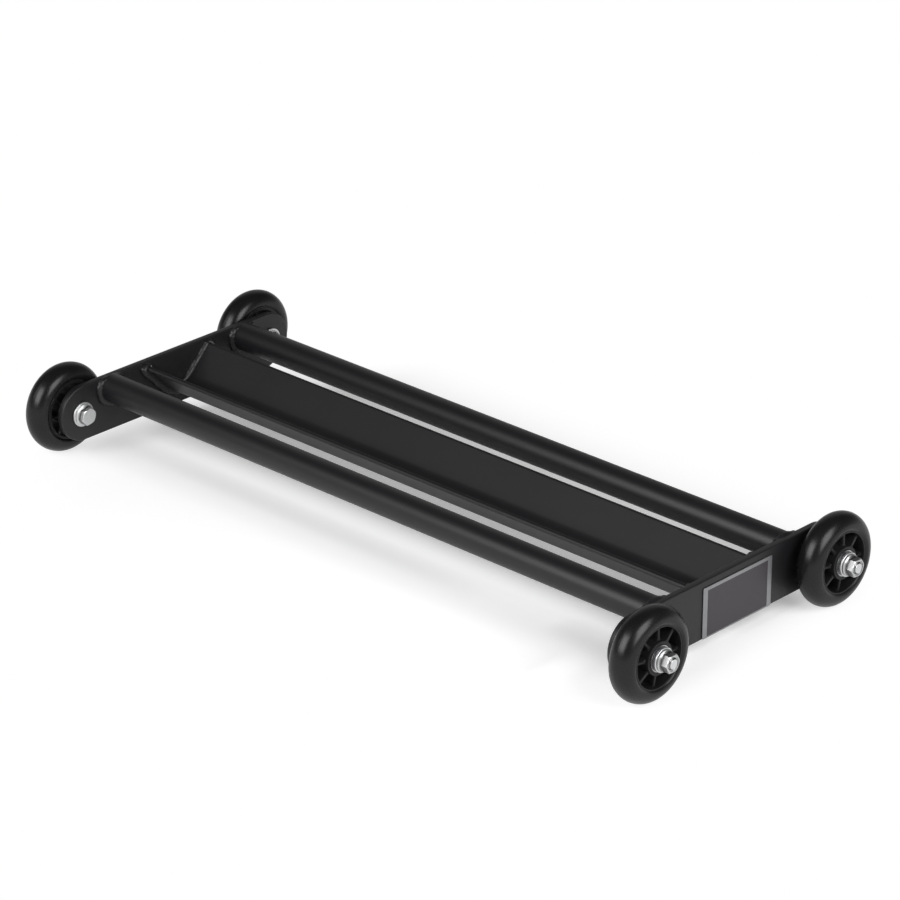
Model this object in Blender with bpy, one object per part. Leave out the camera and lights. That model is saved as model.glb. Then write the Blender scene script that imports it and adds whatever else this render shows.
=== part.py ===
"""Glute and ab roller: a welded steel frame that rolls on four small wheels.

Metres, +Z up. The origin lies on the floor under the middle of the frame. +X runs along the
frame to its right end, and +Y from the front grip bar to the rear one.
"""

import math

import bmesh
import bpy
from mathutils import Matrix, Vector

# Frame, cut from flat bar, round tube and folded plate
BAR_LENGTH = 0.6223
PLATE_THICK = 0.00635
PLATE_HEIGHT = 0.0508
PLATE_OVERHANG = 0.0224
PLATE_EDGE = 0.0006
AXLE_SPACING = 0.2248
AXLE_HEIGHT = 0.040
BOLT_HOLE_RADIUS = 0.0052

# Grip bars
GRIP_RADIUS = 0.0127
GRIP_WALL = 0.0024
GRIP_OFFSET = 0.0786
GRIP_HEIGHT = 0.0544

# Foot channel, a plate folded to a right angle with a round bottom
CHANNEL_THICK = 0.00476
CHANNEL_BEND = 0.024
CHANNEL_LIP_Y = 0.0364
CHANNEL_LIP_Z = 0.0622
CHANNEL_SLOPE = math.radians(45)

# Weld beads
WELD_LEG = 0.0046
WELD_PITCH = 0.0055
WELD_RIPPLE = 0.0005
WELD_CAP = 0.0012

# Label on the right end plate
LABEL_SIZE = (0.0006, 0.0835, 0.0445)
LABEL_CENTRE = (0.0118, 0.0371)
LABEL_CORNER = 0.0015

# Wheel
WHEEL_RADIUS = 0.040
WHEEL_WIDTH = 0.024
WHEEL_CENTRE = 0.02295
CROWN_DEPTH = 0.011
TYRE_BORE = 0.0269
TYRE_FOOT = 0.0108
RIM_OUTER = 0.0266
RIM_INNER = 0.0246
RIM_WIDTH = 0.021
BOSS_RADIUS = 0.0143
BOSS_WIDTH = 0.0230
SPOKES = 8
SPOKE_ROOT = (0.0200, 0.0036)
SPOKE_TIP = (0.0180, 0.0026)
SPOKE_TURN = math.radians(85)

# Ball bearings, two to a wheel
RACE_RADIUS = 0.011
RACE_WIDTH = 0.007
SHIELD_RADIUS = 0.0095
SHIELD_DEPTH = 0.0004
INNER_RACE_RADIUS = 0.0069
RACE_BORE = 0.0050
BEARING_FACE = 0.012

# Axle bolt and its hardware
BOLT_RADIUS = 0.00476
BOLT_LENGTH = 0.0508
HEX_FLATS = 0.0143
FLANGE_RADIUS = 0.0094
FLANGE_RIM = 0.0010
HEAD_HEIGHT = 0.0070
HEAD_FLANGE = 0.0026
NUT_HEIGHT = 0.0088
NUT_FLANGE = 0.0036
NUT_RECESS = (0.0062, 0.0009)
WASHER_THICK = 0.0020
HEAD_WASHER_RADIUS = 0.0111
END_WASHER_RADIUS = 0.0104
END_WASHER_HUB = 0.0013
SPACER_RADIUS = 0.0076
HARDWARE_BORE = 0.0052

# Running and seating clearance between neighbouring pieces
SEAT = 0.0003
FIT = 0.0002
MERGE = 0.000001

# Facets round each kind of turned piece
TYRE_FACETS = 32
RIM_FACETS = 28
RACE_FACETS = 16
SMALL_FACETS = 12
GRIP_FACETS = 32

FULL_TURN = 2 * math.pi
HALF_BAR = BAR_LENGTH / 2
PLATE_FACE = HALF_BAR + SEAT
AXLE_Y = AXLE_SPACING / 2
CORNERS = {
    "front_left": (-1, -1),
    "rear_left": (-1, 1),
    "front_right": (1, -1),
    "rear_right": (1, 1),
}


# Scene and mesh helpers

def clear_scene():
    """Removes whatever the open file holds."""
    for obj in list(bpy.data.objects):
        bpy.data.objects.remove(obj, do_unlink=True)


def finish(name, colour, roughness, metallic):
    """One plain surface finish."""
    material = bpy.data.materials.new(name)
    material.use_nodes = True
    shader = material.node_tree.nodes["Principled BSDF"]
    shader.inputs["Base Color"].default_value = (*colour, 1)
    shader.inputs["Roughness"].default_value = roughness
    shader.inputs["Metallic"].default_value = metallic
    material.diffuse_color = (*colour, 1)
    return material


def shade(mesh):
    """Smooth round sides, sharp corners."""
    mesh.shade_smooth()
    mesh.set_sharp_from_angle(angle=math.radians(35))
    return mesh


def to_mesh(bm, name):
    """Closes a work mesh up and returns it as a shaded mesh."""
    bmesh.ops.remove_doubles(bm, verts=bm.verts, dist=MERGE)
    bmesh.ops.recalc_face_normals(bm, faces=bm.faces)
    mesh = bpy.data.meshes.new(name)
    bm.to_mesh(mesh)
    bm.free()
    return shade(mesh)


def add(name, mesh, material, parent=None, location=(0, 0, 0)):
    """Puts a mesh in the scene as one named piece of its own finish."""
    obj = bpy.data.objects.new(name, mesh)
    bpy.context.scene.collection.objects.link(obj)
    if not mesh.materials:
        mesh.materials.append(material)
    obj.parent = parent
    obj.location = location
    return obj


def combine(base, operation, tool):
    """Unites, cuts or intersects two closed meshes and returns the new one."""
    holder = add(base.name, base, None)
    other = add(tool.name, tool, None)
    modifier = holder.modifiers.new("shape", "BOOLEAN")
    modifier.operation = operation
    modifier.object = other
    depsgraph = bpy.context.evaluated_depsgraph_get()
    mesh = bpy.data.meshes.new_from_object(holder.evaluated_get(depsgraph))
    mesh.materials.clear()
    for obj in (holder, other):
        bpy.data.objects.remove(obj, do_unlink=True)
    return shade(mesh)


def revolve(name, profile, facets):
    """Turns a closed outline of (x, radius) points about the X axis.

    The facets' flats, not their corners, lie on the given radii at the bottom, so a wheel
    stands on a flat.
    """
    bm = bmesh.new()
    start = -math.pi / 2 + math.pi / facets
    ring = [bm.verts.new((x, r * math.cos(start), r * math.sin(start))) for x, r in profile]
    edges = [bm.edges.new(pair) for pair in zip(ring, ring[1:] + ring[:1])]
    bmesh.ops.spin(bm, geom=ring + edges, cent=(0, 0, 0), axis=(1, 0, 0), angle=FULL_TURN,
                   steps=facets, use_merge=True)
    return to_mesh(bm, name)


def ring(name, length, bore, radius, facets):
    """A plain ring whose near face is at x = 0."""
    outline = [(0, bore), (0, radius), (length, radius), (length, bore)]
    return revolve(name, outline, facets)


def hexagon(name, flats, length, flange, turn):
    """A six-sided bar from x = 0, which stands on a round flange that tapers into it.

    A corner of the bar lies at the given turn from the top, and the corners of its far face
    are turned off.
    """
    bm = bmesh.new()
    corner = flats / math.sqrt(3)
    bmesh.ops.create_cone(bm, cap_ends=True, segments=6, radius1=corner, radius2=corner, depth=length)
    place = Matrix.Translation((length / 2, 0, 0)) @ Matrix.Rotation(turn, 4, "X")
    bmesh.ops.transform(bm, matrix=place @ Matrix.Rotation(math.pi / 2, 4, "Y"), verts=bm.verts)
    bar = to_mesh(bm, name)
    overhang = corner - flats / 2
    slope = math.tan(math.radians(30))
    turned = [(-SEAT, 0), (-SEAT, corner + SEAT), (length - overhang * slope, corner + SEAT),
              (length + SEAT, flats / 2 - SEAT / slope), (length + SEAT, 0)]
    bar = combine(bar, "INTERSECT", revolve(name + "_turning", turned, 2 * SMALL_FACETS))
    base = [(0, 0), (0, FLANGE_RADIUS), (FLANGE_RIM, FLANGE_RADIUS), (flange, flats / 2),
            (flange, 0)]
    return combine(bar, "UNION", revolve(name + "_flange", base, RACE_FACETS))


# Frame

def end_plate_mesh():
    """A flat bar with fully rounded ends, which run a little past the axle holes."""
    radius = PLATE_HEIGHT / 2
    centre = AXLE_Y + PLATE_OVERHANG - radius
    steps = 14
    outline = []
    for side, first in ((1, -90), (-1, 90)):
        for step in range(steps + 1):
            angle = math.radians(first + 180 * step / steps)
            outline.append((side * centre + radius * math.cos(angle), radius * math.sin(angle)))
    bm = bmesh.new()
    face = bm.faces.new([bm.verts.new((0, y, z)) for y, z in outline])
    sides = bmesh.ops.extrude_face_region(bm, geom=[face])
    moved = [item for item in sides["geom"] if isinstance(item, bmesh.types.BMVert)]
    bmesh.ops.translate(bm, verts=moved, vec=(PLATE_THICK, 0, 0))
    plate = to_mesh(bm, "end_plate")
    drill = revolve("axle_hole", [(-PLATE_THICK, 0), (-PLATE_THICK, BOLT_HOLE_RADIUS),
                                  (2 * PLATE_THICK, BOLT_HOLE_RADIUS), (2 * PLATE_THICK, 0)],
                    SMALL_FACETS)
    for side in (-1, 1):
        hole = drill.copy()
        hole.transform(Matrix.Translation((0, side * AXLE_Y, 0)))
        plate = combine(plate, "DIFFERENCE", hole)
    return plate


def end_plates(coat):
    """Left and right end plates, their inner faces against the bars' cut ends."""
    for name, side in (("end_plate_left", -1), ("end_plate_right", 1)):
        plate = add(name, end_plate_mesh(), coat, location=(side * PLATE_FACE, 0, AXLE_HEIGHT))
        plate.rotation_euler.z = 0 if side > 0 else math.pi
        edge = plate.modifiers.new("broken_edges", "BEVEL")
        edge.width = PLATE_EDGE
        edge.segments = 1
        edge.limit_method = "ANGLE"
        edge.angle_limit = math.radians(60)


def grip_bars(coat):
    """Two round tubes, open at their ends, which butt against the end plates."""
    outline = [(-HALF_BAR, GRIP_RADIUS - GRIP_WALL), (-HALF_BAR, GRIP_RADIUS),
               (HALF_BAR, GRIP_RADIUS), (HALF_BAR, GRIP_RADIUS - GRIP_WALL)]
    mesh = revolve("grip_bar", outline, GRIP_FACETS)
    for name, side in (("front_grip_bar", -1), ("rear_grip_bar", 1)):
        add(name, mesh, coat, location=(0, side * GRIP_OFFSET, GRIP_HEIGHT))


def channel_path(spacing):
    """Points and outward normals along the middle of the folded plate, front lip to rear lip."""
    run, rise = math.cos(CHANNEL_SLOPE), math.sin(CHANNEL_SLOPE)
    half = CHANNEL_THICK / 2
    bend = CHANNEL_BEND - half
    lip = Vector((CHANNEL_LIP_Y + half * rise, CHANNEL_LIP_Z - half * run))
    tangent_y = bend * rise
    flat = (lip.x - tangent_y) / run
    centre_z = lip.y - flat * rise + bend * run
    flat_steps = round(flat / spacing)
    bend_steps = round(2 * CHANNEL_SLOPE * bend / spacing)
    path = []
    for step in range(flat_steps):
        along = flat * step / flat_steps
        path.append((Vector((-lip.x + along * run, lip.y - along * rise)), Vector((-rise, -run))))
    for step in range(bend_steps + 1):
        angle = -math.pi / 2 - CHANNEL_SLOPE + 2 * CHANNEL_SLOPE * step / bend_steps
        normal = Vector((math.cos(angle), math.sin(angle)))
        path.append((Vector((0, centre_z)) + normal * bend, normal))
    for step in range(1, flat_steps + 1):
        along = flat * (1 - step / flat_steps)
        path.append((Vector((lip.x - along * run, lip.y - along * rise)), Vector((rise, -run))))
    return path


def channel_section(path, half):
    """The closed outline, in (y, z), of a strip laid half to each side of a path."""
    outer = [point + normal * half for point, normal in path]
    inner = [point - normal * half for point, normal in path]
    return outer + inner[::-1]


def foot_channel(coat):
    """The trough that the heels rest in."""
    section = channel_section(channel_path(WELD_PITCH / 2), CHANNEL_THICK / 2)
    count = len(section)
    bm = bmesh.new()
    near, far = ([bm.verts.new((x, y, z)) for y, z in section] for x in (-HALF_BAR, HALF_BAR))
    for index in range(count):
        after = (index + 1) % count
        bm.faces.new((near[index], near[after], far[after], far[index]))
    for loop in (near, far):
        for index in range(count // 2 - 1):
            bm.faces.new((loop[index], loop[index + 1], loop[-index - 2], loop[-index - 1]))
    bmesh.ops.dissolve_limit(bm, angle_limit=math.radians(1), verts=bm.verts, edges=bm.edges)
    add("foot_channel", to_mesh(bm, "foot_channel"), coat)


# Weld beads, one round each end of each bar

def bead_mesh(name, wall, outward, ceiling):
    """A fillet of weld that rings a bar where it meets the end plate at x = 0.

    wall is the bar's outline in (y, z) and outward its normals. The bead's own section is a
    fan between the plate and the wall, swollen and drawn in by turns along the wall. It is
    flattened under the ceiling, where there is little or no plate behind it.
    """
    fan = [(0, 0), (0, 1), (0.55, 0.62), (1, 0)]
    ripple = WELD_RIPPLE / WELD_LEG
    bm = bmesh.new()
    loops = []
    for index, (point, normal) in enumerate(zip(wall, outward)):
        swell = 1 + ripple * (1 if index % 2 else -1)
        loop = []
        for along, away in fan:
            spot = point + normal * (SEAT + away * WELD_LEG * swell)
            height = min(spot.y, ceiling + along * WELD_RIPPLE)
            loop.append(bm.verts.new((along * WELD_LEG * swell, spot.x, height)))
        loops.append(loop)
    for first, second in zip(loops, loops[1:] + loops[:1]):
        for index in range(len(fan)):
            after = (index + 1) % len(fan)
            bm.faces.new((first[index], first[after], second[after], second[index]))
    return to_mesh(bm, name)


def grip_weld_mesh():
    """The bead round a grip bar's end."""
    count = GRIP_FACETS
    normals = [Vector((math.cos(FULL_TURN * step / count), math.sin(FULL_TURN * step / count)))
               for step in range(count)]
    return bead_mesh("grip_weld", [normal * GRIP_RADIUS for normal in normals], normals,
                     GRIP_RADIUS + WELD_CAP)


def channel_weld_mesh():
    """The bead round the foot channel's end, along both of its sides and over its lips."""
    path = channel_path(WELD_PITCH / 2)
    half = CHANNEL_THICK / 2
    wall = channel_section(path, half)
    sides = [normal for point, normal in path]
    outward = sides + [-normal for normal in sides[::-1]]
    slope_up = math.sin(CHANNEL_SLOPE)
    for index, lip in ((0, -1), (len(path) - 1, 1)):
        upward = Vector((lip * math.cos(CHANNEL_SLOPE), slope_up))
        for spot in (index, len(wall) - 1 - index):
            outward[spot] = outward[spot] + upward
    return bead_mesh("channel_weld", wall, outward, AXLE_HEIGHT + PLATE_HEIGHT / 2)


def welds(coat):
    """A bead at both ends of the grip bars and of the foot channel."""
    grip, channel = grip_weld_mesh(), channel_weld_mesh()
    for end, side in (("left", -1), ("right", 1)):
        for name, mesh, spot in (("front_grip_weld", grip, (-GRIP_OFFSET, GRIP_HEIGHT)),
                                 ("rear_grip_weld", grip, (GRIP_OFFSET, GRIP_HEIGHT)),
                                 ("channel_weld", channel, (0, 0))):
            bead = add(f"{name}_{end}", mesh, coat, location=(side * HALF_BAR, *spot))
            bead.rotation_euler.z = math.pi if side > 0 else 0


def label_plate(foil):
    """The bare label on the right end plate's outer face."""
    thick, width, height = LABEL_SIZE
    y, z = LABEL_CENTRE
    bm = bmesh.new()
    bmesh.ops.create_cube(bm, size=1, matrix=Matrix.Diagonal((thick, width, height, 1)))
    upright = [edge for edge in bm.edges if abs((edge.verts[0].co - edge.verts[1].co).x) > thick / 2]
    bmesh.ops.bevel(bm, geom=upright, offset=LABEL_CORNER, segments=3, profile=0.5, affect="EDGES")
    place = (PLATE_FACE + PLATE_THICK + SEAT + thick / 2, y, z)
    add("label_plate", to_mesh(bm, "label_plate"), foil, location=place)


# Wheels

def tyre_mesh():
    """A cast tyre with an elliptical crown, whose sides draw in to the rim."""
    half = WHEEL_WIDTH / 2
    stretch = 1 / math.cos(math.pi / TYRE_FACETS)
    shoulder = WHEEL_RADIUS - CROWN_DEPTH
    steps = 8
    outline = [(-TYRE_FOOT, TYRE_BORE)]
    for step in range(steps + 1):
        angle = math.pi * (step / steps - 0.5)
        outline.append((half * math.sin(angle), shoulder + CROWN_DEPTH * math.cos(angle)))
    outline.append((TYRE_FOOT, TYRE_BORE))
    return revolve("tyre", [(x, r * stretch) for x, r in outline], TYRE_FACETS)


def spokes_mesh():
    """Eight flat spokes, deeper and thicker at the boss than at the rim."""
    bm = bmesh.new()
    inner, outer = BOSS_RADIUS - SPOKE_ROOT[1] / 2, RIM_INNER + (RIM_OUTER - RIM_INNER) / 2
    for spoke in range(SPOKES):
        turn = Matrix.Rotation(SPOKE_TURN + FULL_TURN * spoke / SPOKES, 4, "X")
        made = bmesh.ops.create_cube(bm, size=1)
        for vert in made["verts"]:
            deep, wide = SPOKE_ROOT if vert.co.y < 0 else SPOKE_TIP
            reach = inner if vert.co.y < 0 else outer
            vert.co = turn @ Vector((vert.co.x * deep, reach, vert.co.z * wide))
    return to_mesh(bm, "spokes")


def hub_mesh():
    """A moulded hub: bearing boss, open spokes and rim in one piece."""
    half_rim, half_boss = RIM_WIDTH / 2, BOSS_WIDTH / 2
    rim = revolve("rim", [(-half_rim, RIM_INNER), (half_rim, RIM_INNER),
                          (half_rim, RIM_OUTER), (-half_rim, RIM_OUTER)], RIM_FACETS)
    seat = BEARING_FACE - RACE_WIDTH - SEAT
    bore, shelf = RACE_RADIUS + FIT, SHIELD_RADIUS
    boss = revolve("boss", [(-half_boss, bore), (-half_boss, BOSS_RADIUS),
                            (half_boss, BOSS_RADIUS), (half_boss, bore),
                            (seat, bore), (seat, shelf), (-seat, shelf), (-seat, bore)],
                   RACE_FACETS)
    return combine(combine(spokes_mesh(), "UNION", rim), "UNION", boss)


def outer_race_mesh():
    """A bearing's outer race with its two pressed shields."""
    gap = INNER_RACE_RADIUS + SEAT + FIT
    far = RACE_WIDTH - SHIELD_DEPTH
    outline = [(0, SHIELD_RADIUS), (0, RACE_RADIUS), (RACE_WIDTH, RACE_RADIUS),
               (RACE_WIDTH, SHIELD_RADIUS), (far, SHIELD_RADIUS), (far, gap),
               (SHIELD_DEPTH, gap), (SHIELD_DEPTH, SHIELD_RADIUS)]
    return revolve("outer_race", outline, RACE_FACETS)


def bolt_mesh(length):
    """A flange bolt whose head bears at x = 0, of the given length under the head."""
    head = hexagon("bolt_head", HEX_FLATS, HEAD_HEIGHT, HEAD_FLANGE, math.radians(12))
    head.transform(Matrix.Rotation(math.pi, 4, "Z"))
    tip = 0.0008
    outline = [(-HEAD_FLANGE / 2, 0), (-HEAD_FLANGE / 2, BOLT_RADIUS), (length - tip, BOLT_RADIUS),
               (length, BOLT_RADIUS - tip), (length, 0)]
    return combine(head, "UNION", revolve("shank", outline, RACE_FACETS))


def nut_mesh():
    """A flange nut, bored through, with a shallow round recess in its outer face."""
    radius, depth = NUT_RECESS
    floor = NUT_HEIGHT - depth
    bore = [(-SEAT, 0), (-SEAT, HARDWARE_BORE), (floor, HARDWARE_BORE), (floor, radius),
            (NUT_HEIGHT + SEAT, radius), (NUT_HEIGHT + SEAT, 0)]
    body = hexagon("nut_body", HEX_FLATS, NUT_HEIGHT, NUT_FLANGE, math.radians(30))
    return combine(body, "DIFFERENCE", revolve("nut_bore", bore, RACE_FACETS))


def end_washer_mesh():
    """The outer washer, with the narrow shim that holds it off the bearing's shield."""
    length = END_WASHER_HUB + WASHER_THICK
    outline = [(0, HARDWARE_BORE), (0, INNER_RACE_RADIUS), (END_WASHER_HUB, INNER_RACE_RADIUS),
               (END_WASHER_HUB, END_WASHER_RADIUS), (length, END_WASHER_RADIUS),
               (length, HARDWARE_BORE)]
    return revolve("end_washer", outline, RACE_FACETS)


def stack(pieces, start):
    """Works out where each piece of a clamped stack begins, a seating gap apart."""
    places, spot = {}, start
    for name, length in pieces:
        places[name] = spot
        spot += length + SEAT
    return places


def wheel_and_axle_meshes():
    """Every mesh of one corner, with its place out from the end plate's inner face."""
    outboard = stack([("outboard_race", RACE_WIDTH),
                      ("end_washer", END_WASHER_HUB + WASHER_THICK),
                      ("lock_nut", NUT_HEIGHT)],
                     WHEEL_CENTRE + BEARING_FACE - RACE_WIDTH)
    inboard_race = WHEEL_CENTRE - BEARING_FACE
    spacer = PLATE_THICK + SEAT
    head = -2 * SEAT - WASHER_THICK
    between = WHEEL_CENTRE - BEARING_FACE + RACE_WIDTH + SEAT
    inner_race = ring("inner_race", RACE_WIDTH, RACE_BORE, INNER_RACE_RADIUS, SMALL_FACETS)
    outer_race = outer_race_mesh()
    fixed = {
        "axle_bolt": (bolt_mesh(BOLT_LENGTH), head, "zinc"),
        "head_washer": (ring("head_washer", WASHER_THICK, HARDWARE_BORE, HEAD_WASHER_RADIUS,
                             RACE_FACETS), head + SEAT, "zinc"),
        "plate_spacer": (ring("plate_spacer", inboard_race - SEAT - spacer, HARDWARE_BORE,
                              SPACER_RADIUS, SMALL_FACETS), spacer, "zinc"),
        "inboard_inner_race": (inner_race, inboard_race, "bearing"),
        "bearing_spacer": (ring("bearing_spacer", 2 * (WHEEL_CENTRE - between), HARDWARE_BORE,
                                INNER_RACE_RADIUS, SMALL_FACETS), between, "zinc"),
        "outboard_inner_race": (inner_race, outboard["outboard_race"], "bearing"),
        "end_washer": (end_washer_mesh(), outboard["end_washer"], "zinc"),
        "lock_nut": (nut_mesh(), outboard["lock_nut"], "zinc"),
    }
    moving = {
        "tyre": (tyre_mesh(), WHEEL_CENTRE, "urethane"),
        "hub": (hub_mesh(), WHEEL_CENTRE, "nylon"),
        "inboard_outer_race": (outer_race, inboard_race, "bearing"),
        "outboard_outer_race": (outer_race, outboard["outboard_race"], "bearing"),
    }
    return fixed, moving


def corner_empty(name, sides):
    """An empty on a wheel's axis, its +X pointing out of the end plate."""
    end, row = sides
    empty = bpy.data.objects.new(name, None)
    bpy.context.scene.collection.objects.link(empty)
    empty.location = (end * PLATE_FACE, row * AXLE_Y, AXLE_HEIGHT)
    empty.rotation_euler.z = 0 if end > 0 else math.pi
    return empty


def wheels(finishes):
    """Four corners: the bolted axle, which stays still, and the wheel that spins on it."""
    fixed, moving = wheel_and_axle_meshes()
    for corner, sides in CORNERS.items():
        for group, pieces in (("axle", fixed), ("wheel", moving)):
            empty = corner_empty(f"{corner}_{group}_axis", sides)
            for piece, (mesh, place, surface) in pieces.items():
                add(f"{corner}_{piece}", mesh, finishes[surface], empty, (place, 0, 0))


def main():
    clear_scene()
    coat = finish("powder_coat", (0.018, 0.018, 0.020), 0.42, 0.0)
    foil = finish("label_foil", (0.30, 0.30, 0.32), 0.35, 0.6)
    finishes = {
        "zinc": finish("zinc_plate", (0.62, 0.63, 0.64), 0.30, 1.0),
        "bearing": finish("bearing_steel", (0.55, 0.55, 0.56), 0.22, 1.0),
        "urethane": finish("urethane", (0.022, 0.022, 0.024), 0.35, 0.0),
        "nylon": finish("hub_nylon", (0.016, 0.016, 0.017), 0.45, 0.0),
    }
    end_plates(coat)
    grip_bars(coat)
    foot_channel(coat)
    welds(coat)
    label_plate(foil)
    wheels(finishes)


main()
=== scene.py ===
# %% [markdown]
# # Glute and ab roller
# A low steel frame that rolls on four small wheels. This lesson dresses its finished CAD model:
# each piece that shows is made again as a smooth surface of the same size, and gets the finish
# of the real material. The CAD model stays the skeleton, so every piece moves as it does.

import math

import bmesh
import bpy
import numpy as np
from mathutils import Matrix, Vector


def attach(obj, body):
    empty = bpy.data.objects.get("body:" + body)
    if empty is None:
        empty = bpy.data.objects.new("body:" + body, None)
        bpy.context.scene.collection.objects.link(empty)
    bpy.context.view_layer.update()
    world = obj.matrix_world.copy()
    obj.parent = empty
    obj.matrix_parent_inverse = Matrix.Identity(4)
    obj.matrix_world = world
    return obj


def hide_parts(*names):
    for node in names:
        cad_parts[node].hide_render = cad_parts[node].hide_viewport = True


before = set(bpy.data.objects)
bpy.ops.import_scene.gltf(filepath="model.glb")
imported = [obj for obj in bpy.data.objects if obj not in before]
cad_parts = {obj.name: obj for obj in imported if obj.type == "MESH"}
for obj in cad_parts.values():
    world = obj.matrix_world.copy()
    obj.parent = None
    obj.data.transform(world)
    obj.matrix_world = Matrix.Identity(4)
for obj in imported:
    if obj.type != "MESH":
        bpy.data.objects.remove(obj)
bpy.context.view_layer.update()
MM = 0.001

# %% [markdown]
# ## Measures
# The frame is symmetrical, so a few lengths place everything: where the end plates' inner faces
# lie, how far apart the axles are and how high. They repeat the CAD model's own sizes, and so
# does the hair of room between pieces that sit on each other. A corner is turned half a turn
# about the vertical for the left end, so that one wheel serves all four.

# %% Sizes and corners
HALF_BAR = 311.15 * MM
PLATE_FACE = 311.45 * MM
PLATE_THICK = 6.35 * MM
PLATE_RADIUS = 25.4 * MM
PLATE_OVERHANG = 22.4 * MM
AXLE_Y = 112.4 * MM
AXLE_HEIGHT = 40 * MM
ROOM = 0.3 * MM
ENDS = {"left": -1, "right": 1}
ROWS = {"front": -1, "rear": 1}
CORNERS = {f"{row}_{end}": (ENDS[end], ROWS[row]) for end in ENDS for row in ROWS}


def at_corner(points, corner):
    """Moves points given as (out from the plate's inner face, across, up) to one corner."""
    end, row = CORNERS[corner]
    turned = points * np.array([end, end, 1.0])
    return turned + np.array([end * PLATE_FACE, row * AXLE_Y, AXLE_HEIGHT])


print("wheels stand", round(2 * AXLE_Y / MM, 1), "mm apart along the end plates")

# %% [markdown]
# ## Surfaces from grids
# Every new piece is a surface worked out with numpy. A grid of points is a function of two
# parameters, and neighbouring points are joined by quads. One could push a mesh into shape by
# hand instead, but a formula keeps round things truly round and is easy to change.

# %% Turn grids of points into one mesh
MERGE = 0.001 * MM


def quads_of(points, around=True, closed=False):
    """Vertices and quads of a grid shaped (rows, columns, 3).

    around joins the last column to the first, and closed joins the last row to the first.
    """
    rows, columns = points.shape[:2]
    index = np.arange(rows * columns).reshape(rows, columns)
    index = np.hstack([index, index[:, :1]]) if around else index
    index = np.vstack([index, index[:1]]) if closed else index
    corners = [index[:-1, :-1], index[:-1, 1:], index[1:, 1:], index[1:, :-1]]
    return points.reshape(-1, 3), np.stack(corners, axis=-1).reshape(-1, 4)


def shells_mesh(name, shells):
    """One mesh from several closed grids: poles are merged and every face is turned outwards."""
    parts = [quads_of(*shell) if isinstance(shell, tuple) else quads_of(shell) for shell in shells]
    starts = np.cumsum([0] + [len(points) for points, _ in parts])
    points = np.concatenate([points for points, _ in parts])
    quads = np.concatenate([quads + start for (_, quads), start in zip(parts, starts)])
    mesh = bpy.data.meshes.new(name)
    mesh.vertices.add(len(points))
    mesh.vertices.foreach_set("co", points.ravel())
    mesh.loops.add(quads.size)
    mesh.loops.foreach_set("vertex_index", quads.ravel())
    mesh.polygons.add(len(quads))
    mesh.polygons.foreach_set("loop_start", np.arange(0, quads.size, 4))
    mesh.update(calc_edges=True)
    work = bmesh.new()
    work.from_mesh(mesh)
    bmesh.ops.remove_doubles(work, verts=work.verts, dist=MERGE)
    bmesh.ops.recalc_face_normals(work, faces=work.faces)
    work.to_mesh(mesh)
    work.free()
    mesh.validate()
    return mesh


def add_piece(name, shells, material, body, nodes, crease=35):
    """Shows a mesh made of grids in place of CAD nodes, on the body that they belong to."""
    mesh = shells_mesh(name, shells)
    mesh.shade_smooth()
    mesh.set_sharp_from_angle(angle=math.radians(crease))
    mesh.materials.append(material)
    piece = bpy.data.objects.new(name, mesh)
    bpy.context.scene.collection.objects.link(piece)
    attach(piece, body)
    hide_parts(*nodes)
    return piece


print("3 rows of 4 points, joined round, give", len(quads_of(np.zeros((3, 4, 3)))[1]), "quads")

# %% [markdown]
# ## Turned shapes
# Tyres, races, washers, tubes and spacers are turned shapes: an outline of (distance along the
# axis, radius) is carried round the axis. Small arcs round the outline's corners off, because a
# perfectly sharp edge never catches the light as a real one does.

# %% Outlines with rounded corners, and turning


def rounded(outline, radius, steps=4):
    """Closes an outline with each corner cut back by up to radius and bridged by a curve.

    The curve is a quadratic one: (1-t)^2 * start + 2t(1-t) * corner + t^2 * end.
    """
    corners = np.array(outline, float)
    before, after = np.roll(corners, 1, axis=0) - corners, np.roll(corners, -1, axis=0) - corners
    long_before = np.linalg.norm(before, axis=1, keepdims=True)
    long_after = np.linalg.norm(after, axis=1, keepdims=True)
    cut = np.minimum(radius, 0.45 * np.minimum(long_before, long_after))
    start, end = corners + before / long_before * cut, corners + after / long_after * cut
    t = np.linspace(0, 1, steps)[None, :, None]
    start, middle, end = start[:, None], corners[:, None], end[:, None]
    curve = (1 - t) ** 2 * start + 2 * t * (1 - t) * middle + t**2 * end
    return curve.reshape(-1, 2)


def turned(outline, count=96):
    """A closed outline of (x, radius) carried round the X axis: (x, r cos a, r sin a)."""
    outline = np.asarray(outline, float)
    angle = np.linspace(0, 2 * math.pi, count, endpoint=False)
    x = np.broadcast_to(outline[:, :1], (len(outline), count))
    y, z = outline[:, 1:] * np.cos(angle), outline[:, 1:] * np.sin(angle)
    return np.stack([x, y, z], axis=-1), True, True


def ring_outline(start, length, bore, radius, edge=0.25 * MM):
    """A plain ring's outline with its edges broken."""
    end = start + length
    return rounded([(start, bore), (start, radius), (end, radius), (end, bore)], edge)


def shifted(shell, corner):
    """A shell moved from the axle's own measures to one corner."""
    points, around, closed = shell
    return at_corner(points, corner), around, closed


print("a plain ring is turned from an outline of", len(ring_outline(0, 2, 1, 3)), "points")

# %% [markdown]
# ## Sums on sockets
# A finish is a small program of nodes. Wrapping a node's output in a class that knows +, - and *
# lets the program be written as sums, which is far easier to read than links between nodes.
# Every node comes from one method.

# %% A class for sockets and one for finishes


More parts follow.
